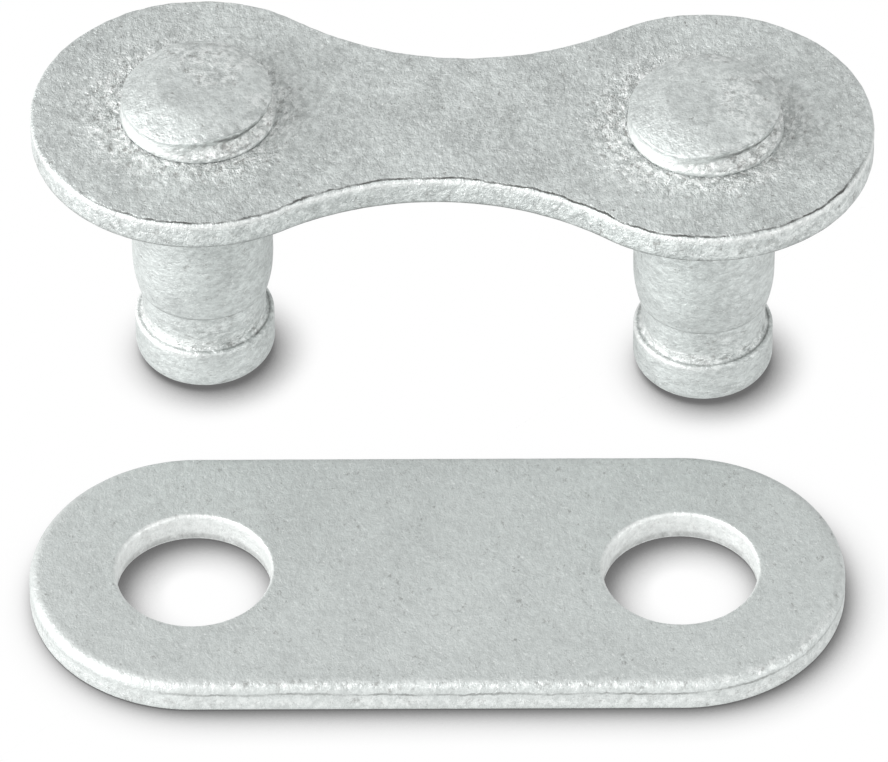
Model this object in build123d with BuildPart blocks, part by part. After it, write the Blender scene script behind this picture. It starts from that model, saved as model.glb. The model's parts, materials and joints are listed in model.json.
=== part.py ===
from build123d import *
from math import cos, hypot, radians, sin
import os

# Clip-free connecting link of a half-inch pitch drive chain, taken apart: the link with its two riveted pins
# stands on its pin ends, and the cover plate lies flat in front of it.
# Frame: origin on the table under the centre of the whole set, X along the pitch, Z up. Millimetres.

# Driving dimensions: pin plate
chain_pitch = 12.7
pin_plate_end_r = 4.22
pin_plate_waist = 4.62
pin_plate_t = 0.82
pin_plate_edge_r = 0.1

# Driving dimensions: pins, from the foot upwards
body_d = 3.58
foot_h = 1.3
foot_round = 0.42
foot_top_round = 0.1
groove_w = 1.1
groove_depth = 0.2
groove_fillet = 0.08
shoulder_h = 0.9
shoulder_inset = 0.11
body_h = 3.9
tenon_ledge = 0.24
head_lap = 0.42
head_collar_h = 0.12
head_undercut_inset = 0.2
head_undercut_h = 0.26
head_rim_inset = 0.08
head_rim_h = 0.6
head_rim_land = 0.1
head_flat_d = 2.04
head_h = 0.92
head_bulge = 0.045

# Driving dimensions: cover plate
cover_end_r = 4.1
cover_t = 0.86
cover_roll_r = 0.28
cover_foot_r = 0.1
hole_edge_r = 0.08

# Named fits, all radial: end disc inside the bearing, tenon in the pin plate, end disc in the cover plate's
# hole, and groove against the hole's outer side once the plate has snapped in
foot_relief = 0.01
tenon_clearance = 0.02
snap_clearance = 0.14
groove_clearance = 0.04

# How the two pieces are laid out
lay_gap = 0.21
lay_turn = 2.6

# Pin radii and heights
body_r = body_d / 2
foot_r = body_r - foot_relief
neck_r = foot_r - groove_depth
shoulder_r = body_r - shoulder_inset
tenon_r = body_r - tenon_ledge
collar_r = tenon_r + head_lap
rim_r = collar_r - head_rim_inset
undercut_r = collar_r - head_undercut_inset
groove_top_z = foot_h + groove_w
shoulder_top_z = groove_top_z + shoulder_h
plate_bottom_z = shoulder_top_z + body_h
plate_top_z = plate_bottom_z + pin_plate_t

# The cover plate's holes are closer together than the pins, so that each hole's outer side sits in a groove
# behind the end disc.
half_pitch = chain_pitch / 2
hole_r = foot_r + snap_clearance
cover_half_pitch = half_pitch + neck_r + groove_clearance - hole_r

# Both pieces side by side, with the origin under the middle of the set
cover_reach = cover_end_r + cover_half_pitch * sin(radians(lay_turn))
set_depth = 2 * pin_plate_end_r + lay_gap + 2 * cover_reach
link_y = set_depth / 2 - pin_plate_end_r
cover_y = cover_reach - set_depth / 2

os.makedirs("parts", exist_ok=True)


# Pin plate: two round lobes joined by waist arcs that are tangent to both of them.
waist_half = pin_plate_waist / 2
waist_arc_r = (half_pitch**2 + waist_half**2 - pin_plate_end_r**2) / (2 * (pin_plate_end_r - waist_half))
waist_arc_y = waist_half + waist_arc_r
centre_gap = hypot(half_pitch, waist_arc_y)
blend_x = half_pitch - pin_plate_end_r * half_pitch / centre_gap
blend_y = pin_plate_end_r * waist_arc_y / centre_gap
end_x = half_pitch + pin_plate_end_r

with BuildPart() as pin_plate:
    with BuildSketch(Plane(origin=(0, link_y, plate_bottom_z), x_dir=(1, 0, 0), z_dir=(0, 0, 1))):
        with BuildLine():
            ThreePointArc((blend_x, -blend_y), (end_x, 0), (blend_x, blend_y))
            ThreePointArc((blend_x, blend_y), (0, waist_half), (-blend_x, blend_y))
            ThreePointArc((-blend_x, blend_y), (-end_x, 0), (-blend_x, -blend_y))
            ThreePointArc((-blend_x, -blend_y), (0, -waist_half), (blend_x, -blend_y))
        make_face()
    extrude(amount=pin_plate_t)
    rims = pin_plate.faces().filter_by(Axis.Z).edges()
    fillet(rims, radius=pin_plate_edge_r)
    with BuildSketch(Plane(origin=(0, link_y, plate_bottom_z), x_dir=(1, 0, 0), z_dir=(0, 0, 1))):
        with Locations((-half_pitch, 0), (half_pitch, 0)):
            Circle(tenon_r + tenon_clearance)
    extrude(amount=pin_plate_t, mode=Mode.SUBTRACT)
pin_plate.part.label = "pin_plate"
export_step(pin_plate.part, "parts/pin_plate.step")


# Pins: half sections revolved about each pin's own axis. X is the radius and Y the height.
def foot_and_body_line():
    """End disc, snap groove, rounded shoulder and bearing body, up to the plate's underside."""
    Line((0, 0), (foot_r - foot_round, 0))
    RadiusArc((foot_r - foot_round, 0), (foot_r, foot_round), -foot_round)
    Line((foot_r, foot_round), (foot_r, foot_h - foot_top_round))
    RadiusArc((foot_r, foot_h - foot_top_round), (foot_r - foot_top_round, foot_h), -foot_top_round)
    Line((foot_r - foot_top_round, foot_h), (neck_r + groove_fillet, foot_h))
    RadiusArc((neck_r + groove_fillet, foot_h), (neck_r, foot_h + groove_fillet), groove_fillet)
    Polyline((neck_r, foot_h + groove_fillet), (neck_r, groove_top_z), (shoulder_r, groove_top_z))
    TangentArc((body_r, shoulder_top_z), (shoulder_r, groove_top_z), tangent=(0, -1),
               tangent_from_first=True)
    Line((body_r, shoulder_top_z), (body_r, plate_bottom_z))


def tenon_and_head_line():
    """Tenon through the plate and the upset head: collar, undercut, rim, domed flank and flat."""
    collar_top = plate_top_z + head_collar_h
    undercut_z = plate_top_z + head_undercut_h
    rim_z = plate_top_z + head_rim_h
    flank_z = rim_z + head_rim_land
    head_top = plate_top_z + head_h
    Polyline((body_r, plate_bottom_z), (tenon_r, plate_bottom_z), (tenon_r, plate_top_z),
             (collar_r, plate_top_z), (collar_r, collar_top), (undercut_r, undercut_z), (rim_r, rim_z),
             (rim_r, flank_z))
    SagittaArc((rim_r, flank_z), (head_flat_d / 2, head_top), -head_bulge)
    Polyline((head_flat_d / 2, head_top), (0, head_top), (0, 0))


for side, pin_x in (("left", -half_pitch), ("right", half_pitch)):
    with BuildPart() as pin:
        with BuildSketch(Plane(origin=(pin_x, link_y, 0), x_dir=(1, 0, 0), z_dir=(0, -1, 0))):
            with BuildLine():
                foot_and_body_line()
                tenon_and_head_line()
            make_face()
        revolve(axis=Axis((pin_x, link_y, 0), (0, 0, 1)))
    pin.part.label = side + "_pin"
    export_step(pin.part, "parts/" + pin.part.label + ".step")


# Cover plate: straight sides, ends round the holes' centres, and a rolled upper edge from blanking.
lay_x_dir = (cos(radians(lay_turn)), sin(radians(lay_turn)), 0)
cover_plane = Plane(origin=(0, cover_y, 0), x_dir=lay_x_dir, z_dir=(0, 0, 1))

with BuildPart() as cover_plate:
    with BuildSketch(cover_plane):
        SlotCenterToCenter(2 * cover_half_pitch, 2 * cover_end_r)
    extrude(amount=cover_t)
    fillet(cover_plate.faces().sort_by(Axis.Z)[-1].edges(), radius=cover_roll_r)
    fillet(cover_plate.faces().sort_by(Axis.Z)[0].edges(), radius=cover_foot_r)
    with BuildSketch(cover_plane):
        with Locations((-cover_half_pitch, 0), (cover_half_pitch, 0)):
            Circle(hole_r)
    extrude(amount=cover_t, mode=Mode.SUBTRACT)
    hole_rims = cover_plate.edges().filter_by(GeomType.CIRCLE).filter_by(
        lambda rim: abs(rim.radius - hole_r) < 0.001)
    fillet(hole_rims, radius=hole_edge_r)
cover_plate.part.label = "cover_plate"
export_step(cover_plate.part, "parts/cover_plate.step")

print("pins: radius", body_r, "from", shoulder_top_z, "to", plate_bottom_z, "at y", link_y)
print("cover plate: centre at y", cover_y, "holes", hole_r, "at", cover_half_pitch)
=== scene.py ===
"""Looks of a clip-free connecting link of a drive chain: the link on its two pins and the loose cover plate.

Every piece is rebuilt here as a finer surface in the place of its CAD node, with the marks that blanking,
riveting and tumbling leave on small plated steel parts, and with painted shade and painted highlights.
Shapes are worked out in millimetres.

Each piece carries five numbers on its points for its material to read: scuff, how far the metal is worn
rough; burnish, how far it is worn bright or takes a painted highlight; crack, how dark a seam or painted
shade runs there; edge, the distance over the plate's upper edge; and edge_line_and_shade, how strongly the
ragged shear line and its painted shade show along that edge.
"""
import json
from collections import namedtuple
from math import cos, radians, sin
from types import SimpleNamespace

import bpy
import numpy as np
from mathutils import Matrix, Vector


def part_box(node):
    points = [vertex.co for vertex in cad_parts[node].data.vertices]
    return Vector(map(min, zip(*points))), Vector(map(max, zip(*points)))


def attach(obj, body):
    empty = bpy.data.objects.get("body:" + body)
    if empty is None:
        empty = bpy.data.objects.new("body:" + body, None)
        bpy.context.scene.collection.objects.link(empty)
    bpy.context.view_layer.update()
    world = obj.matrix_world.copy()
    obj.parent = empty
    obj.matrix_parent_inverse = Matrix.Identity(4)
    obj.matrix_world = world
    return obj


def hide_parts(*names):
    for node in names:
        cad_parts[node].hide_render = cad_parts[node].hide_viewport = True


MM = 0.001

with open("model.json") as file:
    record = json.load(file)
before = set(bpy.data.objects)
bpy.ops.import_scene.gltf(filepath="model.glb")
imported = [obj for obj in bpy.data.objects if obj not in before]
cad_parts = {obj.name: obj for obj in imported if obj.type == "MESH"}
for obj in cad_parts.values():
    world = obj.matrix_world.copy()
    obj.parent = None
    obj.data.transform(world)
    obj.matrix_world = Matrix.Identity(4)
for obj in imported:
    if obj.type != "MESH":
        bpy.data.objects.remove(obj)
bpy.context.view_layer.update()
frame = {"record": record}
mounts = {m["name"]: m for m in frame["record"]["mounts"]}


def mount_place(name):
    """A mount's position in millimetres."""
    return np.array(mounts[name]["pos_m"]) / MM


def node_box(name):
    """A node's lowest and highest corners in millimetres."""
    low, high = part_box(name)
    return np.array(low) / MM, np.array(high) / MM


# ---------------------------------------------------------------- sizes read from the frame
LEFT_PIN = mount_place("left_pin_bearing")
RIGHT_PIN = mount_place("right_pin_bearing")
HALF_PITCH = (RIGHT_PIN[0] - LEFT_PIN[0]) / 2
LINK_Y = LEFT_PIN[1]
BODY_R = mounts["left_pin_bearing"]["dims"]["r_mm"]
HOLE_R = mounts["left_cover_hole"]["dims"]["r_mm"]

LEFT_HOLE = mount_place("left_cover_hole")
RIGHT_HOLE = mount_place("right_cover_hole")
COVER_CENTRE = (LEFT_HOLE + RIGHT_HOLE) / 2
COVER_ALONG = (RIGHT_HOLE - LEFT_HOLE)[:2]
COVER_HALF_PITCH = np.hypot(*COVER_ALONG) / 2
COVER_TURN = np.arctan2(COVER_ALONG[1], COVER_ALONG[0])
COVER_TOP = node_box("cover_plate")[1][2]

PLATE_LOW, PLATE_HIGH = node_box("pin_plate")
PLATE_END_R = (PLATE_HIGH[1] - PLATE_LOW[1]) / 2
PLATE_BOTTOM = PLATE_LOW[2]
PLATE_TOP = PLATE_HIGH[2]
PIN_TOP = node_box("left_pin")[1][2]

# ---------------------------------------------------------------- sizes that the frame does not hold
# Pin plate: half its waist, its edge rounds and its tenon holes.
WAIST_HALF = 2.31
PLATE_EDGE = 0.1
TENON_HOLE_R = 1.57

# Cover plate: its round ends, its rolled upper edge, its lower edge and the worn edges of its holes.
COVER_END_R = 4.1
COVER_ROLL = 0.28
COVER_FOOT = 0.1
HOLE_EDGE = 0.12

# Pins from the foot upwards: end disc, neck of the snap groove, tapered shoulder and tenon.
FOOT_R = 1.78
FOOT_H = 1.3
FOOT_ROUND = 0.42
FOOT_TOP_ROUND = 0.1
NECK_R = 1.58
NECK_FILLET = 0.08
GROOVE_TOP = 2.4
SHOULDER_R = 1.68
SHOULDER_TOP = 3.3
TENON_R = 1.55

# Rivet heads. An undercut or a rim is a radius and a height over the plate.
COLLAR_R = 1.97
COLLAR_H = 0.12
UNDERCUT = (1.77, 0.34)
RIM = (1.89, 0.6)
RIM_LAND = 0.1
FLAT_R = 1.02
HEAD_BULGE = 0.045

# The side to which riveting smeared the heads, and the section that they have there.
SMEAR_SIDE = radians(198)
SMEARED_UNDERCUT = (1.96, 0.22)
SMEARED_RIM = (1.93, 0.4)
SMEARED_BULGE = 0.03

# ---------------------------------------------------------------- places of the marks
# Each is the middle and the width of a bell curve. These lie over a plate's upper edge, where more than 0
# is in on the face and less than 0 is down the wall.
COVER_ROLL_FRONT = (0.03, 0.17)
COVER_ROLL_LEFT = (0.02, 0.26)
COVER_TORN_BAND = (-0.58, 0.2)
PLATE_TORN_BAND = (-0.45, 0.3)
PLATE_NICKS = (0.0, 0.12)
# A painted highlight just down the pin plate's upper edge.
PLATE_EDGE_HIGHLIGHT = (-0.1, 0.08)

# These are distances from a head's axis.
NEAR_RING = (2.0, 0.55)
WIDE_RING = (2.3, 0.6)

# These are heights over the table.
HOLE_SEAM = (0.16, 0.08)
PLATE_LOWER_SEAM = (PLATE_BOTTOM + 0.05, 0.04)
DISC_EDGE = (FOOT_H - 0.02, 0.1)
DISC_CORNER = (FOOT_H, 0.03)
NECK_FOOT = (FOOT_H + 0.12, 0.16)
GROOVE_MIDDLE = (1.8, 0.45)
SHOULDER_SEAM = (GROOVE_TOP, 0.03)

# These are heights over the pin plate.
CRESCENT = (0.15, 0.2)
UNDER_RIM = (0.48, 0.16)
# Painted shadow under the rim: its height over the plate and its width.
UNDER_RIM_SHADOW = (0.5, 0.09)
RIM_CORNER = (RIM[1] + RIM_LAND, 0.1)

# ---------------------------------------------------------------- fineness of the surfaces
TOP_STEP = 0.062
HALF_RING_TURNS = 145
OUTER_WALL_LEVELS = 10
HOLE_WALL_LEVELS = 8
PIN_TURNS = 321
WELD_STEP = 1e-4

# An edge distance so far off that no edge mark reaches it.
NO_EDGE = -9.0


# ---------------------------------------------------------------- noise and small curves
def lattice_value(cells, seed):
    """A repeatable value from -1 to 1 for each whole-number cell, by mixing its three numbers."""
    mixed = cells[..., 0] * 73856093 ^ cells[..., 1] * 19349663 ^ cells[..., 2] * 83492791
    mixed = (mixed + seed * 97531) & 0x7FFFFFFF
    mixed = (mixed ^ (mixed >> 13)) * 1274126177 & 0x7FFFFFFF
    mixed = (mixed ^ (mixed >> 16)) & 0xFFFF
    return mixed / 32767.5 - 1


def noise(points, cell, seed):
    """Value noise from -1 to 1: random values on a cubic lattice, blended smoothly between its corners."""
    place = points / cell
    base = np.floor(place).astype(np.int64)
    part = place - base
    part = part * part * (3 - 2 * part)
    total = np.zeros(points.shape[:-1])
    for corner in np.ndindex(2, 2, 2):
        side = np.array(corner)
        weight = np.prod(np.where(side == 1, part, 1 - part), axis=-1)
        total += weight * lattice_value(base + side, seed)
    return total


def grit(points, cell, seed):
    """Three layers of noise, each half the cell and 0.6 of the height of the one before, within -1 to 1."""
    shares = [0.6 ** k for k in range(3)]
    layers = sum(share * noise(points, cell / 2 ** k, seed + k) for k, share in enumerate(shares))
    return layers / sum(shares)


def ramp(value, low, high):
    """0 below low, 1 above high, and a smooth S between them."""
    part = np.clip((value - low) / (high - low), 0, 1)
    return part * part * (3 - 2 * part)


def bell(value, middle, width):
    """1 at the middle, falling away on both sides as a bell curve of that width."""
    return np.exp(-(((value - middle) / width) ** 2))


def pits(points, cell, seed, depth, skin=-0.4, floor=0.6):
    """Depth of pits about a cell wide: none where the grit is under skin, the whole depth over floor."""
    return depth * ramp(grit(points, cell, seed), skin, floor)


def quarter_drop(distance, radius):
    """How far a quarter-round edge has dropped at a distance in from its wall."""
    reach = np.clip(radius - distance, 0, radius)
    return radius - np.sqrt(radius ** 2 - reach ** 2)


def arc_points(centre, radius, start, end, count):
    """Points on a circular arc in the radius and height plane, angles in degrees."""
    angle = np.radians(np.linspace(start, end, count))
    return np.stack([centre[0] + radius * np.cos(angle), centre[1] + radius * np.sin(angle)], axis=1)


def run(start, end, count):
    """Evenly spaced points on a straight line, both ends included."""
    part = np.linspace(0, 1, count)[:, None]
    return np.array(start) * (1 - part) + np.array(end) * part


# ---------------------------------------------------------------- meshes from grids
def grid_quads(rows, columns, start):
    """The four-cornered faces of a grid whose points are numbered row by row from start."""
    index = np.arange(rows * columns).reshape(rows, columns) + start
    corners = [index[:-1, :-1], index[:-1, 1:], index[1:, 1:], index[1:, :-1]]
    return np.stack([c.ravel() for c in corners], axis=1)


def weld(grids):
    """Joins grids into one list of points and faces, sharing the points that lie on each other."""
    quads = []
    start = 0
    for grid in grids:
        quads.append(grid_quads(grid.shape[0], grid.shape[1], start))
        start += grid.shape[0] * grid.shape[1]
    points = np.concatenate([grid.reshape(-1, 3) for grid in grids])
    keys = np.round(points / WELD_STEP).astype(np.int64)
    _, first, number = np.unique(keys, axis=0, return_index=True, return_inverse=True)
    return points[first], number.ravel()[np.concatenate(quads)]


def closed_piece(name, grids):
    """A mesh from welded grids, with collapsed faces dropped and its faces turned outwards."""
    points, quads = weld(grids)
    faces = [list(dict.fromkeys(quad)) for quad in quads.tolist()]
    faces = [face for face in faces if len(face) > 2]
    mesh = bpy.data.meshes.new(name)
    mesh.from_pydata((points * MM).tolist(), [], faces)
    mesh.validate()
    piece = bpy.data.objects.new(name, mesh)
    bpy.context.scene.collection.objects.link(piece)
    bpy.context.view_layer.objects.active = piece
    piece.select_set(True)
    bpy.ops.object.mode_set(mode="EDIT")
    bpy.ops.mesh.select_all(action="SELECT")
    bpy.ops.mesh.normals_make_consistent(inside=False)
    bpy.ops.object.mode_set(mode="OBJECT")
    piece.select_set(False)
    mesh.shade_smooth()
    return piece


def read_points(piece):
    """A piece's points and their outward normals, in millimetres."""
    mesh = piece.data
    points = np.empty(len(mesh.vertices) * 3)
    normals = np.empty(len(mesh.vertices) * 3)
    mesh.vertices.foreach_get("co", points)
    mesh.vertex_normals.foreach_get("vector", normals)
    return points.reshape(-1, 3) / MM, normals.reshape(-1, 3)


def dent(piece, points, normals, depth):
    """Moves a piece's points in against their normals by a depth in millimetres."""
    moved = points - normals * depth[:, None]
    piece.data.vertices.foreach_set("co", (moved * MM).ravel())
    piece.data.update()


def paint(piece, name, values):
    """Stores one number for each point of a piece, for its material to read."""
    layer = piece.data.attributes.new(name, "FLOAT", "POINT")
    layer.data.foreach_set("value", values.astype(np.float32))


# ---------------------------------------------------------------- plates
# A plate's outline: half its hole spacing, the radii of its ends and holes, and two functions, for half its
# width at X and for the depth inside its outline at a point.
Blank = namedtuple("Blank", "half_pitch end_r hole_r half_width depth_in")


def waisted_blank():
    """The pin plate's outline: round ends joined by waist arcs tangent to both.

    The arcs' radius follows from the waist, and a point is beside the waist where it lies on the inner side
    of the line from an arc's centre to an end's centre.
    """
    arc_r = (HALF_PITCH ** 2 + WAIST_HALF ** 2 - PLATE_END_R ** 2) / (2 * (PLATE_END_R - WAIST_HALF))
    arc_y = WAIST_HALF + arc_r
    blend_x = HALF_PITCH - PLATE_END_R * HALF_PITCH / np.hypot(HALF_PITCH, arc_y)

    def half_width(x):
        """The end circle's half height, or the waist arc's where that is nearer the middle."""
        lobe = np.sqrt(np.maximum(PLATE_END_R ** 2 - (HALF_PITCH - np.abs(x)) ** 2, 0))
        waist = arc_y - np.sqrt(arc_r ** 2 - np.minimum(np.abs(x), blend_x) ** 2)
        return np.where(np.abs(x) < blend_x, waist, lobe)

    def depth_in(x, y):
        """The distance to the end circle or to the waist arc, whichever the point is beside."""
        lobe = PLATE_END_R - np.hypot(np.abs(x) - HALF_PITCH, y)
        waist = np.hypot(x, arc_y - np.abs(y)) - arc_r
        beside_waist = np.abs(x) * arc_y < HALF_PITCH * (arc_y - np.abs(y))
        return np.maximum(np.where(beside_waist, waist, lobe), 0)

    return Blank(HALF_PITCH, PLATE_END_R, TENON_HOLE_R, half_width, depth_in)


def straight_sided_blank():
    """The cover plate's outline: straight sides between two half circles."""

    def half_width(x):
        """The same all along the straight sides."""
        return np.full(np.shape(x), COVER_END_R)

    def depth_in(x, y):
        """The distance to the side, or past a hole's centre to the end's half circle."""
        past_end = np.maximum(np.abs(x) - COVER_HALF_PITCH, 0)
        return np.maximum(COVER_END_R - np.hypot(past_end, y), 0)

    return Blank(COVER_HALF_PITCH, COVER_END_R, HOLE_R, half_width, depth_in)


def spread(low, high, edge_low, edge_high, step, fine):
    """Stations from low to high, close together over an edge width at each end and a step apart between."""
    first = low + edge_low * (1 - np.cos(np.linspace(0, np.pi / 2, fine)))
    last = high - edge_high * (1 - np.cos(np.linspace(np.pi / 2, 0, fine)))
    middle = np.linspace(low + edge_low, high - edge_high, max(2, int((high - low) / step)))
    return np.concatenate([first[:-1], middle, last[1:]])


def plate_faces(blank, radii):
    """One face of a plate with a hole in each end, as three flat grids of X and Y.

    Two half rings run round the holes' outer sides, from radius to radius. The middle grid runs along the
    plate: its ends follow the holes' inner halves, and its rows are shares of the plate's half width. Its
    columns crowd towards the ends, by a mix of even steps and the sine of them.
    """
    half_turn = np.radians(np.linspace(-90, 90, HALF_RING_TURNS))
    ring_x = blank.half_pitch + radii[:, None] * np.cos(half_turn)
    ring_y = radii[:, None] * np.sin(half_turn)
    right = np.stack([ring_x, ring_y], axis=-1)
    left = right * [-1, 1]

    inner = np.radians(np.linspace(-90, 90, HALF_RING_TURNS // 2 + 1))[1:-1]
    rim_x = blank.half_pitch - blank.hole_r * np.cos(inner)
    rim_shares = blank.hole_r * np.sin(inner) / blank.half_width(rim_x)
    shares = np.concatenate([-radii[::-1] / blank.end_r, rim_shares, radii / blank.end_r])
    beside_hole = np.full(len(radii), blank.half_pitch)
    reaches = np.concatenate([beside_hole, rim_x, beside_hole])
    even = np.linspace(-1, 1, int(blank.half_pitch * 2 / TOP_STEP))
    along = 0.35 * even + 0.65 * np.sin(even * np.pi / 2)
    middle_x = along[None, :] * reaches[:, None]
    middle_y = shares[:, None] * blank.half_width(middle_x)
    return [right, left, np.stack([middle_x, middle_y], axis=-1)]


def wall_between(loop_low, loop_high, count):
    """A wall from one loop of points to another, in count levels."""
    part = np.linspace(0, 1, count)[:, None, None]
    return loop_low[None] * (1 - part) + loop_high[None] * part


def plate_grids(blank, low, high, upper_edge, lower_edge, hole_edge):
    """All the grids of a plate: both faces with their rounded edges, the outer wall and the hole walls.

    A face drops by a quarter round near the outline, and near the holes where they have a worn edge. The
    upper face is fine all over, and the lower one only along its edges.
    """
    sliver = 0.02
    hole_zone = max(hole_edge, sliver)
    skirt = blank.end_r - 0.4
    upper_radii = spread(blank.hole_r, blank.end_r, hole_zone, max(upper_edge, 0.2), TOP_STEP, 9)
    lower_radii = np.concatenate([
        spread(blank.hole_r, skirt, hole_zone, sliver, 0.6, 3)[:-1],
        spread(skirt, blank.end_r, sliver, lower_edge, 0.3, 4)])

    def lift(face, level, edge, sign):
        """A flat grid put at its level, with its edges dropped towards the middle of the plate."""
        x, y = face[..., 0], face[..., 1]
        drop = quarter_drop(blank.depth_in(x, y), edge)
        if hole_edge > 0:
            from_hole = np.hypot(blank.half_pitch - np.abs(x), y) - blank.hole_r
            drop = drop + quarter_drop(np.maximum(from_hole, 0), hole_edge)
        return np.stack([x, y, level - sign * drop], axis=-1)

    tops = [lift(face, high, upper_edge, 1) for face in plate_faces(blank, upper_radii)]
    bottoms = [lift(face, low, lower_edge, -1) for face in plate_faces(blank, lower_radii)]
    walls = []
    for bottom, top in zip(bottoms[:2], tops[:2]):
        walls.append(wall_between(bottom[-1], top[-1], OUTER_WALL_LEVELS))
        walls.append(wall_between(bottom[0], top[0], HOLE_WALL_LEVELS))
    for end in (0, -1):
        walls.append(wall_between(bottoms[2][end], tops[2][end], OUTER_WALL_LEVELS))
        rim_low = bottoms[2][len(lower_radii) - 1:1 - len(lower_radii), end]
        rim_high = tops[2][len(upper_radii) - 1:1 - len(upper_radii), end]
        walls.append(wall_between(rim_low, rim_high, HOLE_WALL_LEVELS))
    return tops + bottoms + walls


def placed(points, centre, turn):
    """Points turned about Z and moved to their centre."""
    spin = np.array([[cos(turn), sin(turn), 0], [-sin(turn), cos(turn), 0], [0, 0, 1]])
    return points @ spin + [centre[0], centre[1], 0]


def edge_distance(points, normals, inside, top):
    """Distance over the upper edge: in from it on the top face, minus the way down on the wall."""
    return np.where(normals[:, 2] < -0.5, NO_EDGE, inside - (top - points[:, 2]))


def facing_hole(points, normals, own):
    """How far the cover plate's surface faces the axis of its nearer hole, from 0 to 1."""
    hole = np.where(own[:, :1] < 0, LEFT_HOLE[None, :2], RIGHT_HOLE[None, :2])
    from_axis = points[:, :2] - hole
    from_axis /= np.maximum(np.hypot(*from_axis.T), 0.1)[:, None]
    return ramp(-np.sum(normals[:, :2] * from_axis, axis=1), 0.15, 0.6)


def make_cover_plate():
    """Cover plate: a flat blank with a rolled upper edge, whose skin is slightly uneven from tumbling.

    The front of the rolled edge is finely pitted, and so is the band along the wall where the blank tore
    off. The walls of the holes are scuffed and painted lighter as a painted highlight, with a dark seam low
    down in them, and the left end of the rolled edge is painted lighter as a painted highlight.
    """
    blank = straight_sided_blank()
    grids = plate_grids(blank, 0.0, COVER_TOP, COVER_ROLL, COVER_FOOT, HOLE_EDGE)
    piece = closed_piece("loose_cover_plate", [placed(g, COVER_CENTRE, COVER_TURN) for g in grids])
    points, normals = read_points(piece)
    height = points[:, 2]
    own = placed(points - [COVER_CENTRE[0], COVER_CENTRE[1], 0], (0, 0), -COVER_TURN)
    own_x, own_y = own[:, 0], own[:, 1]
    edge = edge_distance(points, normals, blank.depth_in(own_x, own_y), COVER_TOP)
    facing_front = 1 - ramp(own_y, -3.4, 2.0)
    facing_left = ramp(-own_x - 5.5, 0, 2.0)
    rolled = bell(edge, *COVER_ROLL_FRONT) * facing_front * (1 - 0.75 * facing_left)
    torn = bell(edge, *COVER_TORN_BAND)

    depth = 0.004 + 0.0035 * grit(points, 0.9, 11) + 0.003 * grit(points, 0.28, 12)
    depth += rolled * pits(points, cell=0.15, seed=13, depth=0.012, skin=-0.3)
    depth += torn * pits(points * [1, 1, 2.2], cell=0.3, seed=14, depth=0.012, skin=-0.2)
    depth *= ramp(height, 0, 0.12)
    dent(piece, points, normals, depth)

    hole_gap = np.hypot(np.abs(own_x) - COVER_HALF_PITCH, own_y) - HOLE_R
    hole_wall = facing_hole(points, normals, own) * (hole_gap < 0.2)
    past_left_hole = -own_x - COVER_HALF_PITCH - 0.1 - own_y * 0.4
    left_roll_highlight = bell(edge, *COVER_ROLL_LEFT) * ramp(past_left_hole, -0.6, 1.6)
    hole_seam = bell(hole_gap, 0, 0.03) * bell(height, *HOLE_SEAM)
    paint(piece, "scuff", np.clip(0.5 * rolled + 0.35 * torn + 0.3 * hole_wall, 0, 1))
    # Hole walls and the left end of the rolled edge are made lighter: painted highlights, with the walls
    # also scuffed.
    paint(piece, "burnish_and_highlight", np.clip(0.42 * hole_wall + 0.15 * left_roll_highlight + 0.12 * torn, 0, 1))
    paint(piece, "seam_and_shade", 0.4 * hole_seam)
    paint(piece, "edge", edge)
    # The shear line shows along the front, and its painted shade is weaker on the left, where the light
    # falls.
    paint(piece, "edge_line_and_shade", facing_front * (1 - 0.8 * facing_left))
    return piece


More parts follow.
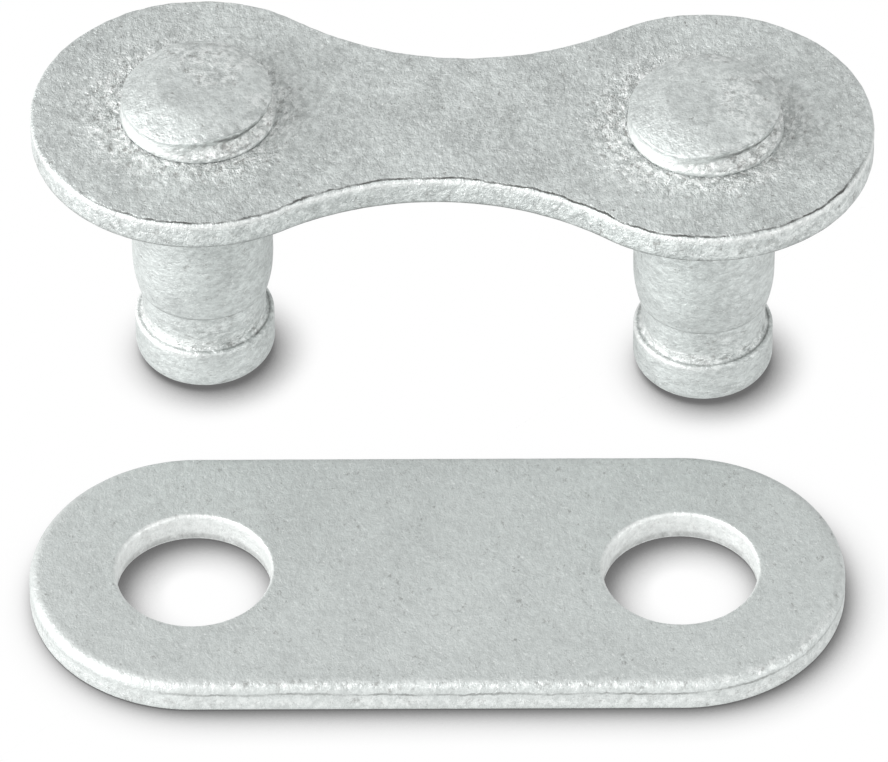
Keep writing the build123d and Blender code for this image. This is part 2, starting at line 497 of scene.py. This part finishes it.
def make_pin_plate():
    """Waisted plate: a ragged shear line runs along its upper edge, and riveting scuffed it round the heads.
    The line is darkened by painted shade that is weaker on the lit left, and a painted highlight runs just
    down the edge from it.

    The scuffed rings are bells of the distance from a head's axis, stronger towards the front and left.
    """
    blank = waisted_blank()
    grids = plate_grids(blank, PLATE_BOTTOM, PLATE_TOP, PLATE_EDGE, PLATE_EDGE, hole_edge=0)
    piece = closed_piece("waisted_pin_plate", [placed(g, (0, LINK_Y), 0) for g in grids])
    points, normals = read_points(piece)
    x, y = points[:, 0], points[:, 1] - LINK_Y
    inside = blank.depth_in(x, y)
    edge = edge_distance(points, normals, inside, PLATE_TOP)
    upper = ramp(edge, -0.2, 0.2)
    torn = bell(edge, *PLATE_TORN_BAND)
    from_head = np.hypot(np.abs(x) - HALF_PITCH, y)
    turned_left = (np.sign(x) * HALF_PITCH - x) / np.maximum(from_head, 0.1)
    turned_front = -y / np.maximum(from_head, 0.1)
    front_left = ramp(turned_front + 0.6 * turned_left, -0.3, 0.6)
    near_ring = bell(from_head, *NEAR_RING) * (0.6 + 0.4 * front_left)
    wide_ring = bell(from_head, *WIDE_RING) * ramp(turned_left, -0.5, 0.9) * 0.8
    hammered = upper * np.clip(np.maximum(near_ring, wide_ring), 0, 1)

    depth = 0.005 + 0.004 * grit(points, 0.9, 24) + 0.004 * grit(points, 0.26, 25)
    depth += hammered * pits(points, cell=0.3, seed=26, depth=0.045)
    depth += bell(edge, *PLATE_NICKS) * pits(points, cell=0.35, seed=28, depth=0.02)
    depth += torn * pits(points * [1, 1, 1.6], cell=0.3, seed=27, depth=0.014, skin=-0.2)
    dent(piece, points, normals, depth)

    lower_seam = bell(points[:, 2], *PLATE_LOWER_SEAM) * (inside < 0.2)
    facing_front = 1 - ramp(y, -2.2, -0.6)
    facing_left = ramp(-x - HALF_PITCH, 0.5, 3.5)
    paint(piece, "scuff", np.clip(hammered + 0.25 * torn, 0, 1))
    # The band down the upper edge is a painted highlight; the rings round the heads are worn a little
    # bright.
    paint(piece, "burnish_and_highlight", 0.5 * bell(edge, *PLATE_EDGE_HIGHLIGHT) + 0.12 * near_ring * upper)
    paint(piece, "seam_and_shade", 0.5 * lower_seam)
    paint(piece, "edge", edge)
    # The shear line shows along the front, and its painted shade is weaker on the left, where the light
    # falls.
    paint(piece, "edge_line_and_shade", facing_front * (1 - 0.9 * facing_left))
    return piece


# ---------------------------------------------------------------- pins
def pin_profile(undercut, rim, bulge):
    """Half section of a pin from the middle of its foot to the middle of its head: radius and height.

    The shoulder is an arc that ends upright at the body. The head's flank is a straight line from the rim's
    land to the flat, bulged outwards by a parabola.
    """
    undercut = (undercut[0], PLATE_TOP + undercut[1])
    rim = (rim[0], PLATE_TOP + rim[1])
    foot_arc = arc_points((FOOT_R - FOOT_ROUND, FOOT_ROUND), FOOT_ROUND, -90, 0, 14)
    top_arc_centre = (FOOT_R - FOOT_TOP_ROUND, FOOT_H - FOOT_TOP_ROUND)
    top_arc = arc_points(top_arc_centre, FOOT_TOP_ROUND, 0, 90, 8)
    neck_arc = arc_points((NECK_R + NECK_FILLET, FOOT_H + NECK_FILLET), NECK_FILLET, 270, 180, 7)

    rise = SHOULDER_TOP - GROOVE_TOP
    inset = BODY_R - SHOULDER_R
    shoulder_arc_r = (rise ** 2 + inset ** 2) / (2 * inset)
    sweep = np.degrees(np.arcsin(rise / shoulder_arc_r))
    shoulder = arc_points((BODY_R - shoulder_arc_r, SHOULDER_TOP), shoulder_arc_r, -sweep, 0, 18)

    flank_start = np.array([rim[0], rim[1] + RIM_LAND])
    chord = np.array([FLAT_R, PIN_TOP]) - flank_start
    outwards = np.array([chord[1], -chord[0]]) / np.hypot(*chord)
    part = np.linspace(0, 1, 22)[:, None]
    flank = flank_start + chord * part + outwards * bulge * 4 * part * (1 - part)

    return np.concatenate([
        run((0, 0), (FOOT_R - FOOT_ROUND, 0), 5)[:-1], foot_arc,
        run((FOOT_R, FOOT_ROUND), (FOOT_R, FOOT_H - FOOT_TOP_ROUND), 14)[1:-1], top_arc, neck_arc,
        run((NECK_R, FOOT_H + NECK_FILLET), (NECK_R, GROOVE_TOP), 22)[1:],
        run((NECK_R, GROOVE_TOP), (SHOULDER_R, GROOVE_TOP), 4)[1:-1], shoulder,
        run((BODY_R, SHOULDER_TOP), (BODY_R, PLATE_BOTTOM), 50)[1:],
        run((BODY_R, PLATE_BOTTOM), (TENON_R, PLATE_BOTTOM), 4)[1:],
        run((TENON_R, PLATE_BOTTOM), (TENON_R, PLATE_TOP), 4)[1:],
        run((TENON_R, PLATE_TOP), (COLLAR_R, PLATE_TOP), 8)[1:],
        run((COLLAR_R, PLATE_TOP), (COLLAR_R, PLATE_TOP + COLLAR_H), 5)[1:],
        run((COLLAR_R, PLATE_TOP + COLLAR_H), undercut, 8)[1:],
        run(undercut, rim, 12)[1:],
        run(rim, flank_start, 4)[1:], flank[1:],
        run((FLAT_R, PIN_TOP), (0, PIN_TOP), 22)[1:],
    ])


def smear_share(away):
    """How far the head is smeared at an angle away from that side: a smooth ramp of its cosine."""
    return ramp(np.cos(away), -0.05, 0.75)


def pin_zones(points, centre):
    """Where each point of a pin lies, and how far it belongs to each of the pin's marked zones, 0 to 1."""
    across = points[:, 0] - centre[0]
    along = points[:, 1] - centre[1]
    zone = SimpleNamespace(height=points[:, 2], above=points[:, 2] - PLATE_TOP)
    zone.radius = np.hypot(across, along)
    away = np.arctan2(along, across) - SMEAR_SIDE
    zone.away = (away + np.pi) % (2 * np.pi) - np.pi
    zone.smear = smear_share(zone.away)
    zone.crisp = 1 - zone.smear
    zone.head = ramp(zone.above, 0, 0.1)
    zone.collar = zone.head * (1 - ramp(zone.above, 0.25, 0.45)) * (1 - 0.8 * zone.smear)
    zone.under_rim = zone.head * bell(zone.above, *UNDER_RIM) * zone.crisp
    zone.rim = zone.head * bell(zone.above, *RIM_CORNER) * ramp(zone.radius, 1.5, 1.8)
    zone.neck = bell(zone.height, *NECK_FOOT) * ramp(zone.radius, 1.2, 1.5)
    return zone


def pin_dents(points, zone, seed):
    """Depth of a pin's dents: slight all over, and deepest in the torn collar and along the rim."""
    broad = noise(points, 0.9, seed + 5)
    depth = 0.004 + 0.003 * grit(points * [1, 1, 2.5], 0.6, seed) + 0.0025 * grit(points, 0.24, seed + 3)
    depth += zone.head * 0.018 * ramp(broad, -0.5, 0.8)
    depth += zone.head * zone.crisp * pits(points, cell=0.4, seed=seed + 7, depth=0.012)
    depth += zone.rim * (1 - 0.8 * zone.smear) * pits(points, cell=0.5, seed=seed + 6, depth=0.05)
    depth += zone.collar * pits(points, cell=0.17, seed=seed + 9, depth=0.12)
    depth += zone.under_rim * pits(points * [1, 1, 0.25], cell=0.16, seed=seed + 10, depth=0.03)
    depth += zone.neck * pits(points, cell=0.16, seed=seed + 12, depth=0.025, skin=-0.3, floor=0.7)
    return depth * ramp(zone.height, 0, 0.05)


def paint_pin(piece, points, zone, seed):
    """Marks of a pin: scuffed collar, neck and patches, a dark seam at the shoulder, painted shade in the
    disc's corner and under the rim away from the light, and painted highlights on the lit side of the head's
    wall, the disc's edge and the neck, with the collar also worn bright.
    """
    worn = zone.collar + 0.7 * zone.neck + 0.5 * zone.under_rim + 0.2 * zone.rim * zone.crisp
    groove = bell(zone.height, *GROOVE_MIDDLE) * zone.crisp * (zone.radius < 1.7)
    head_patches = 0.45 * zone.head * zone.crisp * ramp(noise(points, 0.8, seed + 15), -0.2, 0.4)
    groove_patches = 0.4 * groove * ramp(noise(points, 0.5, seed + 16), -0.4, 0.4)
    patches = np.maximum(head_patches, groove_patches)
    paint(piece, "scuff", np.clip(np.maximum(worn, patches), 0, 1))

    # Painted shadow under the rim, strongest on the side turned away from the light.
    turned_away = 1 - ramp(np.cos(zone.away), -0.2, 0.3)
    under_rim_shadow = bell(zone.above, *UNDER_RIM_SHADOW) * zone.head * turned_away
    # Painted shade in the corner between the disc and the neck, stronger on the side away from the light.
    corner = bell(zone.height, *DISC_CORNER) * bell(zone.radius, NECK_R + NECK_FILLET, 0.025)
    corner *= 0.35 + 0.65 * ramp(np.cos(zone.away), 0.3, -0.5)
    shoulder_seam = bell(zone.height, *SHOULDER_SEAM)
    paint(piece, "seam_and_shade", np.clip(0.7 * under_rim_shadow + 0.6 * corner + 0.35 * shoulder_seam, 0, 1))

    # Painted highlights: a curved band low on the head's wall, the disc's top edge and the neck, all on the
    # lit left; the collar is worn bright.
    crescent_highlight = bell(zone.away, radians(26), radians(34)) * bell(zone.above, *CRESCENT)
    crescent_highlight *= (zone.radius > 1.75) * zone.head
    disc_edge_highlight = bell(zone.height, *DISC_EDGE) * ramp(zone.radius, FOOT_R - 0.12, FOOT_R - 0.04)
    disc_edge_highlight *= ramp(np.cos(zone.away), -0.1, 0.8)
    neck_glint = zone.neck * ramp(np.cos(zone.away - 0.5), 0.3, 0.9)
    bright = [crescent_highlight, 0.3 * zone.collar, 0.6 * disc_edge_highlight, 0.35 * neck_glint]
    paint(piece, "burnish_and_highlight", np.clip(np.maximum.reduce(bright), 0, 1))

    paint(piece, "edge", np.full(len(points), NO_EDGE))
    paint(piece, "edge_line_and_shade", np.zeros(len(points)))


def make_pin(name, centre, seed):
    """Pin: a half section carried round the pin's own axis, then dented where it was upset and worn.

    Riveting smeared the head to one side, so there the section blends into one whose rim runs straight down
    to the collar.
    """
    turn = np.linspace(0, 2 * np.pi, PIN_TURNS)
    smeared = smear_share(turn - SMEAR_SIDE)[:, None]
    crisp_section = pin_profile(UNDERCUT, RIM, HEAD_BULGE)[:, None, :]
    smeared_section = pin_profile(SMEARED_UNDERCUT, SMEARED_RIM, SMEARED_BULGE)[:, None, :]
    section = crisp_section * (1 - smeared) + smeared_section * smeared
    x = centre[0] + section[..., 0] * np.cos(turn)
    y = centre[1] + section[..., 0] * np.sin(turn)
    piece = closed_piece(name, [np.stack([x, y, section[..., 1]], axis=-1)])
    points, normals = read_points(piece)
    zone = pin_zones(points, centre)
    dent(piece, points, normals, pin_dents(points, zone, seed))
    paint_pin(piece, points, zone, seed)
    return piece


# ---------------------------------------------------------------- shader building blocks
def add(tree, kind, **inputs):
    """A new node in a material, with its inputs set by name."""
    node = tree.nodes.new(kind)
    for name, value in inputs.items():
        node.inputs[name].default_value = value
    return node


def field(tree, name):
    """A number stored on a piece's points."""
    node = tree.nodes.new("ShaderNodeAttribute")
    node.attribute_name = name
    return node.outputs["Fac"]


def grain(tree, place, per_mm, detail, roughness=0.6):
    """A noise pattern with that many features to the millimetre."""
    node = add(tree, "ShaderNodeTexNoise", Scale=per_mm / MM, Detail=detail, Roughness=roughness)
    tree.links.new(place, node.inputs["Vector"])
    return node.outputs["Fac"]


def spans(tree, value, low, high, to_low, to_high):
    """Maps a range of one value smoothly onto another, held at its ends."""
    node = tree.nodes.new("ShaderNodeMapRange")
    node.interpolation_type = "SMOOTHSTEP"
    tree.links.new(value, node.inputs["Value"])
    limits = {"From Min": low, "From Max": high, "To Min": to_low, "To Max": to_high}
    for key, number in limits.items():
        node.inputs[key].default_value = number
    return node.outputs["Result"]


def joined(tree, operation, first, second):
    """Two values joined by a sum, product or other operation; either may be a plain number."""
    node = tree.nodes.new("ShaderNodeMath")
    node.operation = operation
    for socket, value in zip(node.inputs, (first, second)):
        if isinstance(value, (int, float)):
            socket.default_value = value
        else:
            tree.links.new(value, socket)
    return node.outputs["Value"]


def weighted(tree, *terms):
    """The sum of values, each times its weight; a weight may be a plain number or another value."""
    total = None
    for value, weight in terms:
        term = joined(tree, "MULTIPLY", value, weight)
        total = term if total is None else joined(tree, "ADD", total, term)
    return total


def tinted(tree, amount, colour, other):
    """Mixes from one colour to another by an amount; colours may be sockets."""
    node = tree.nodes.new("ShaderNodeMix")
    node.data_type = "RGBA"
    tree.links.new(amount, node.inputs["Factor"])
    for socket, value in ((node.inputs[6], colour), (node.inputs[7], other)):
        if isinstance(value, tuple):
            socket.default_value = value
        else:
            tree.links.new(value, socket)
    return node.outputs[2]


def mixed(tree, amount, first, second):
    """Mixes one shader into another by an amount."""
    node = tree.nodes.new("ShaderNodeMixShader")
    tree.links.new(amount, node.inputs["Fac"])
    tree.links.new(first, node.inputs[1])
    tree.links.new(second, node.inputs[2])
    return node.outputs["Shader"]


# ---------------------------------------------------------------- finishes
# Dark of the shear line and seams, which also serves as painted shade.
SEAM_AND_SHADE_DARK = (0.08, 0.08, 0.075, 1)
GRIME = (0.24, 0.24, 0.23, 1)
BARE_METAL = (0.9, 0.92, 0.91, 1)
# Bright worn metal, and also the colour of the painted highlights.
BURNISH_AND_HIGHLIGHT_METAL = (0.96, 0.97, 0.96, 1)
DULL_GLEAM = (0.55, 0.55, 0.55, 1)
SHEAR_LINE_WIDTH = 0.05

# Each finish is its base colour, the height of its skin in millimetres, how far the colour strays from the
# base, how strong its dark flecks and bright specks are, where its shear line lies over the upper edge, how
# dark that line is, and how the pattern is stretched along X, Y and Z.
LINK_GREY = (0.592, 0.623, 0.614)
COVER_GREY = (0.622, 0.652, 0.642)
PIN_FINISH = {
    "base": LINK_GREY, "skin_height": 0.026, "contrast": 0.24, "speckle": 0.8,
    "line_at": 0.0, "line_strength": 0, "stretch": (0.8, 0.8, 1.2)}
PIN_PLATE_FINISH = {
    "base": LINK_GREY, "skin_height": 0.045, "contrast": 0.27, "speckle": 1.0,
    "line_at": 0.07, "line_strength": 0.9, "stretch": (1, 0.72, 0.8)}
COVER_FINISH = {
    "base": COVER_GREY, "skin_height": 0.019, "contrast": 0.13, "speckle": 0.7,
    "line_at": -0.3, "line_strength": 0.5, "stretch": (1, 0.72, 0.8)}


def shear_line_and_shade(tree, place, middle):
    """A thin broken line along an edge: strongest at that distance over the edge, moved about by noise.
    Its strength is read from edge_line_and_shade, which holds painted shade as well as the line.
    """
    slow = spans(tree, grain(tree, place, 1.1, 1), 0.3, 0.7, -0.035, 0.035)
    quick = spans(tree, grain(tree, place, 6, 2, 0.7), 0.3, 0.7, -0.02, 0.02)
    moved = joined(tree, "ADD", field(tree, "edge"), joined(tree, "ADD", slow, quick))
    off = joined(tree, "ABSOLUTE", joined(tree, "SUBTRACT", moved, middle), 0)
    line = spans(tree, off, SHEAR_LINE_WIDTH * 0.3, SHEAR_LINE_WIDTH, 1, 0)
    unbroken = spans(tree, grain(tree, place, 1.6, 3), 0.32, 0.6, 0.2, 1)
    return joined(tree, "MULTIPLY", joined(tree, "MULTIPLY", line, unbroken), field(tree, "edge_line_and_shade"))


def creases(tree, place, per_mm):
    """Fine wrinkles: 0 along the creases of a noise pattern, rising on both sides of them."""
    middled = joined(tree, "SUBTRACT", grain(tree, place, per_mm, 3, 0.65), 0.5)
    return spans(tree, joined(tree, "ABSOLUTE", middled, 0), 0, 0.14, 0, 1)


def stretched_place(tree, stretch):
    """The point on the piece, scaled along each axis."""
    coordinates = tree.nodes.new("ShaderNodeTexCoord")
    mapping = tree.nodes.new("ShaderNodeMapping")
    mapping.inputs["Scale"].default_value = stretch
    tree.links.new(coordinates.outputs["Object"], mapping.inputs["Vector"])
    return mapping.outputs["Vector"]


def tumbled_steel(name, base, skin_height, contrast, speckle, line_at, line_strength, stretch):
    """Dull plated steel.

    Its colour runs from a darker to a lighter shade of the base, by 0.3 of soft clouds and 0.7 of fine
    mottle. Over that lie grimy flecks, bright specks, the bare and grimy grains of scuffed places, the
    places worn bright together with the painted highlights, and at last the dark line and seams with the
    painted shade in them. Its skin is the sum of mottle, fine grain and wrinkles, made much rougher by
    scuffs and cut in along the lines.
    """
    material = bpy.data.materials.new(name)
    material.use_nodes = True
    tree = material.node_tree
    shader = tree.nodes["Principled BSDF"]
    place = stretched_place(tree, stretch)
    clouds = grain(tree, place, 0.8, 3)
    mottle = grain(tree, place, 5.5, 3, 0.75)
    fine = grain(tree, place, 14, 2, 0.7)
    flecks = grain(tree, place, 5, 4, 0.75)
    wrinkles = creases(tree, place, 3.6)
    scuff = field(tree, "scuff")
    unbroken = spans(tree, grain(tree, place, 2.2, 3), 0.36, 0.5, 0.25, 1)
    # Dark seams, and the painted shade in corners and under the rims.
    seams_and_shade = joined(tree, "MULTIPLY", field(tree, "seam_and_shade"), unbroken)
    line = joined(tree, "MULTIPLY", shear_line_and_shade(tree, place, line_at), line_strength)
    line = joined(tree, "MAXIMUM", line, seams_and_shade)

    dark = tuple(c * (1 - contrast) for c in base) + (1,)
    light = tuple(c * (1 + contrast) for c in base) + (1,)
    soft_shade = spans(tree, clouds, 0.3, 0.7, 0, 0.3)
    fine_shade = spans(tree, mottle, 0.25, 0.75, 0, 0.7)
    dirty = spans(tree, flecks, 0.4, 0.3, 0, 0.7 * speckle)
    bright = spans(tree, fine, 0.6, 0.72, 0, 0.7 * speckle)
    worn = joined(tree, "MULTIPLY", scuff, spans(tree, mottle, 0.44, 0.62, 0, 1))
    pockets = joined(tree, "MULTIPLY", scuff, spans(tree, flecks, 0.47, 0.37, 0, 0.85))
    colour = tinted(tree, joined(tree, "ADD", soft_shade, fine_shade), dark, light)
    colour = tinted(tree, dirty, colour, GRIME)
    colour = tinted(tree, bright, colour, BARE_METAL)
    colour = tinted(tree, worn, colour, BARE_METAL)
    colour = tinted(tree, pockets, colour, GRIME)
    # Places worn bright, and painted highlights.
    colour = tinted(tree, field(tree, "burnish_and_highlight"), colour, BURNISH_AND_HIGHLIGHT_METAL)
    # The dark line and seams, partly painted shade.
    colour = tinted(tree, line, colour, SEAM_AND_SHADE_DARK)
    tree.links.new(colour, shader.inputs["Base Color"])

    tree.links.new(spans(tree, mottle, 0.3, 0.7, 0.66, 0.54), shader.inputs["Roughness"])
    shader.inputs["Metallic"].default_value = 0.72
    shader.inputs["Specular Tint"].default_value = DULL_GLEAM

    scuffed = weighted(tree, (flecks, 3.2), (wrinkles, 0.4))
    skin = weighted(tree, (mottle, 1.3), (fine, 0.25), (wrinkles, 0.35), (scuff, scuffed), (line, -0.8))
    bump = add(tree, "ShaderNodeBump", Strength=1.0, Distance=skin_height * MM)
    tree.links.new(skin, bump.inputs["Height"])
    tree.links.new(bump.outputs["Normal"], shader.inputs["Normal"])
    return material


# ---------------------------------------------------------------- table, light and camera
def shadow_glow(tree, shadow_reach):
    """A glow that is full in the open and falls near what stands on the table.

    It follows the share of open directions within that reach, leaned so that the shadow falls to the right
    and front.
    """
    open_share = add(tree, "ShaderNodeAmbientOcclusion", Distance=shadow_reach)
    open_share.samples = 16
    lean = add(tree, "ShaderNodeCombineXYZ", X=-0.3, Y=0.25, Z=1.0)
    unit = tree.nodes.new("ShaderNodeVectorMath")
    unit.operation = "NORMALIZE"
    tree.links.new(lean.outputs["Vector"], unit.inputs[0])
    tree.links.new(unit.outputs["Vector"], open_share.inputs["Normal"])
    glow = tree.nodes.new("ShaderNodeEmission")
    tree.links.new(spans(tree, open_share.outputs["AO"], 0.3, 0.97, 0.15, 1.0), glow.inputs["Strength"])
    return glow.outputs["Emission"]


def make_table():
    """A white table. Seen directly it is pure white, darkened only close to what stands on it.

    The metal mirrors it mostly as plain white too, and every other ray meets a matt white surface.
    """
    reach = 0.6
    corners = [(-reach, -reach, 0), (reach, -reach, 0), (reach, reach, 0), (-reach, reach, 0)]
    mesh = bpy.data.meshes.new("white_table")
    mesh.from_pydata(corners, [], [(0, 1, 2, 3)])
    table = bpy.data.objects.new("white_table", mesh)
    bpy.context.scene.collection.objects.link(table)
    material = bpy.data.materials.new("white_table_top")
    material.use_nodes = True
    tree = material.node_tree
    tree.nodes.clear()
    matt = add(tree, "ShaderNodeBsdfDiffuse", Color=(0.8, 0.8, 0.8, 1))
    plain_glow = tree.nodes.new("ShaderNodeEmission")
    rays = tree.nodes.new("ShaderNodeLightPath").outputs
    mirrored = joined(tree, "MAXIMUM", rays["Is Glossy Ray"], rays["Is Transmission Ray"])
    mirrored_share = joined(tree, "MULTIPLY", mirrored, 0.8)
    in_metal = mixed(tree, mirrored_share, matt.outputs["BSDF"], plain_glow.outputs["Emission"])
    whole = mixed(tree, rays["Is Camera Ray"], in_metal, shadow_glow(tree, 1.35 * MM))
    out = tree.nodes.new("ShaderNodeOutputMaterial")
    tree.links.new(whole, out.inputs["Surface"])
    mesh.materials.append(material)


def add_lamp(name, place, size, power):
    """A square soft lamp aimed at the middle of the parts, hidden from the camera itself."""
    data = bpy.data.lights.new(name, "AREA")
    data.size = size
    data.energy = power
    lamp = bpy.data.objects.new(name, data)
    lamp.location = place
    lamp.rotation_euler = Vector(place).to_track_quat("Z", "Y").to_euler()
    lamp.visible_camera = False
    bpy.context.scene.collection.objects.link(lamp)


def make_light():
    """An even white room, a large soft lamp on the front left and a small weak one on the front right."""
    world = bpy.data.worlds.new("white_room")
    world.use_nodes = True
    background = world.node_tree.nodes["Background"]
    background.inputs["Color"].default_value = (1, 1, 1, 1)
    background.inputs["Strength"].default_value = 0.74
    bpy.context.scene.world = world
    add_lamp("left_softbox", place=(-0.53, -0.24, 0.25), size=0.62, power=5.5)
    add_lamp("right_softbox", place=(0.36, -0.22, 0.08), size=0.14, power=0.5)


def make_camera():
    """A long lens from in front and above, turned and rolled slightly against the link."""
    data = bpy.data.cameras.new("camera")
    data.sensor_width = 36
    data.lens = 411.2
    camera = bpy.data.objects.new("camera", data)
    turn, rise, roll = radians(3.157), radians(43.54), radians(-0.61)
    distance = 0.25978
    aim = Vector((-0.264 * MM, LINK_Y * MM, -1.077 * MM))
    back = Vector((sin(turn) * cos(rise), -cos(turn) * cos(rise), sin(rise)))
    level = Vector((cos(turn), sin(turn), 0))
    up = back.cross(level)
    right = level * cos(roll) + up * sin(roll)
    top = up * cos(roll) - level * sin(roll)
    place = aim + back * distance
    camera.matrix_world = Matrix((
        (right.x, top.x, back.x, place.x),
        (right.y, top.y, back.y, place.y),
        (right.z, top.z, back.z, place.z),
        (0, 0, 0, 1)))
    bpy.context.scene.collection.objects.link(camera)
    bpy.context.scene.camera = camera


# ---------------------------------------------------------------- assembly
LEFT_PIN_SEED = 31
RIGHT_PIN_SEED = 51

finishes = {
    "pin_plate": tumbled_steel("tumbled_pin_plate", **PIN_PLATE_FINISH),
    "left_pin": tumbled_steel("tumbled_left_pin", **PIN_FINISH),
    "right_pin": tumbled_steel("tumbled_right_pin", **PIN_FINISH),
    "cover_plate": tumbled_steel("tumbled_cover_plate", **COVER_FINISH),
}
new_pieces = {
    "pin_plate": make_pin_plate(),
    "left_pin": make_pin("riveted_left_pin", LEFT_PIN, LEFT_PIN_SEED),
    "right_pin": make_pin("riveted_right_pin", RIGHT_PIN, RIGHT_PIN_SEED),
    "cover_plate": make_cover_plate(),
}
for node, piece in new_pieces.items():
    piece.data.materials.append(finishes[node])
    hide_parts(node)
    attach(piece, "cover" if node == "cover_plate" else "pin_link")

make_table()
make_light()
make_camera()
bpy.context.scene.view_settings.view_transform = "Standard"
